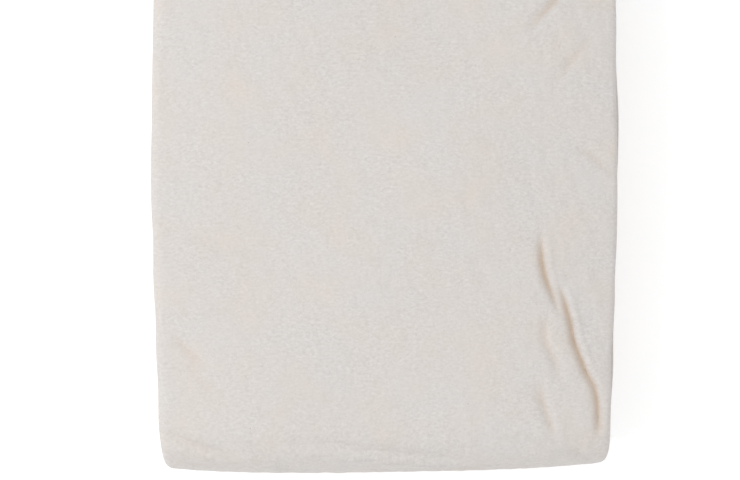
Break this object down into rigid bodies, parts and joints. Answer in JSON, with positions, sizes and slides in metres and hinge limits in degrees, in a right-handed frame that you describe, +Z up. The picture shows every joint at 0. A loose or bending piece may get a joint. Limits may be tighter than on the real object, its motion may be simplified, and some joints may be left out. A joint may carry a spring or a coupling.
{
  "type": "roll of quilt batting",
  "caption": "Natural cotton quilt batt, folded lengthways into a thick strip and wound flat into a soft rectangular roll, lying on its back.",
  "frame": {"origin": "on the surface it lies on, under the middle of the roll", "axes": "+Z up, out of the roll's face; +Y towards the top of the face, along the way it is wound; +X towards the side with the batt's cut edges"},
  "size_m": [0.2908, 0.3628, 0.1185],
  "materials": {
    "batting": "matte fibrous natural cotton wadding"
  },
  "bodies": {
    "root": {"batting_roll": "batting"}
  },
  "joints": []
}
